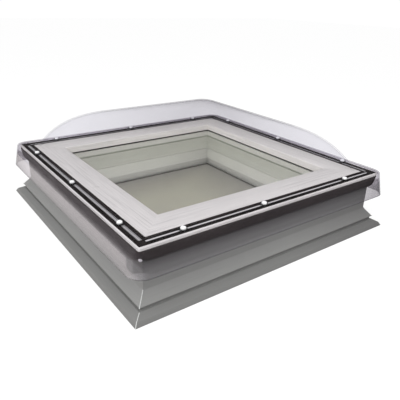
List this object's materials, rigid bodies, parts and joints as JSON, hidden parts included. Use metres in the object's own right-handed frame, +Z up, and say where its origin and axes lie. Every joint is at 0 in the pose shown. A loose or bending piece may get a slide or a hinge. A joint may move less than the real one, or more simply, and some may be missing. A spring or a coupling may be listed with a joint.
{
  "type": "roof skylight",
  "caption": "Square flat-roof skylight: flared hollow-profile curb, hinged sash with a double-glazed unit, and a clear outer dome screwed down over a ribbed gasket.",
  "frame": {"origin": "centre of the curb's base, on the roof plane", "axes": "+Z up through the dome; +Y towards the hinge side; +X to the right seen from the front (-Y)"},
  "size_m": [0.86, 0.86, 0.309],
  "materials": {
    "curb_white_grey": "satin extruded vinyl profile, mid grey",
    "sash_white": "satin extruded vinyl profile, warm white",
    "bead_white": "satin extruded vinyl bead, warm white",
    "seal_black": "black weather seal, matt",
    "lip_dark": "dark brown-grey moulded rubber, satin",
    "gasket_dark": "dark ribbed gasket, satin",
    "tape_pale": "pale closed-cell foam tape",
    "dome_clear": "clear moulded plastic sheet, polished, faint lavender tint",
    "glass_clear": "clear float glass, faint green tint",
    "spacer_bar": "folded aluminium spacer bar, satin",
    "butyl_black": "black secondary sealant",
    "block_grey": "grey packer plastic",
    "zinc_steel": "zinc-plated steel, satin",
    "screw_steel": "stainless screw, bright",
    "cap_white": "white domed cap, gloss",
    "handle_white": "white powder coat, satin"
  },
  "bodies": {
    "curb": {"curb_front": "curb_white_grey", "curb_back": "curb_white_grey", "curb_left": "curb_white_grey", "curb_right": "curb_white_grey", "curb_top_seal": "seal_black", "curb_inner_seal": "seal_black", "hinge_leaves_fixed": "zinc_steel", "hinge_pins": "zinc_steel", "hinge_screws_fixed": "screw_steel", "stay_posts": "zinc_steel", "lock_keeper": "zinc_steel", "keeper_screws": "screw_steel"},
    "sash": {"sash_front": "sash_white", "sash_back": "sash_white", "sash_left": "sash_white", "sash_right": "sash_white", "weather_lip": "lip_dark", "lip_rivets": "cap_white", "dome_gasket": "gasket_dark", "gasket_tape": "tape_pale", "dome_shell": "dome_clear", "dome_screws": "screw_steel", "seal_washers": "seal_black", "steel_washers": "screw_steel", "screw_caps": "cap_white", "outer_pane": "glass_clear", "inner_pane": "glass_clear", "pane_spacer": "spacer_bar", "pane_edge_seal": "butyl_black", "glazing_gasket_outer": "seal_black", "glazing_gasket_inner": "seal_black", "bead_front": "bead_white", "bead_back": "bead_white", "bead_left": "bead_white", "bead_right": "bead_white", "setting_blocks": "block_grey", "hinge_leaves_moving": "zinc_steel", "hinge_screws_moving": "screw_steel", "stay_track_left": "zinc_steel", "stay_track_right": "zinc_steel", "handle_base": "handle_white"},
    "handle": {"handle_lever": "handle_white", "lock_spindle": "zinc_steel"},
    "stay_left": {"stay_arm_left": "zinc_steel", "stay_pin_left": "screw_steel"},
    "stay_right": {"stay_arm_right": "zinc_steel", "stay_pin_right": "screw_steel"}
  },
  "joints": [
    {"name": "sash_hinge", "type": "hinge", "parent": "curb", "child": "sash", "pos_m": [0, 0.3915, 0.137], "axis": [-1, 0, 0], "range_deg": [0, 22]},
    {"name": "stay_left_pivot", "type": "hinge", "parent": "curb", "child": "stay_left", "pos_m": [-0.332, 0.25322, 0.1151], "axis": [-1, 0, 0], "range_deg": [0, 44]},
    {"name": "stay_right_pivot", "type": "hinge", "parent": "curb", "child": "stay_right", "pos_m": [0.332, 0.25322, 0.1151], "axis": [-1, 0, 0], "range_deg": [0, 44]},
    {"name": "handle_turn", "type": "hinge", "parent": "sash", "child": "handle", "pos_m": [0, -0.3, 0.098], "axis": [0, 1, 0], "range_deg": [0, 90]}
  ],
  "couplings": [
    {"joint": "stay_left_pivot", "follows": "sash_hinge", "ratio": 2},
    {"joint": "stay_right_pivot", "follows": "sash_hinge", "ratio": 2}
  ]
}
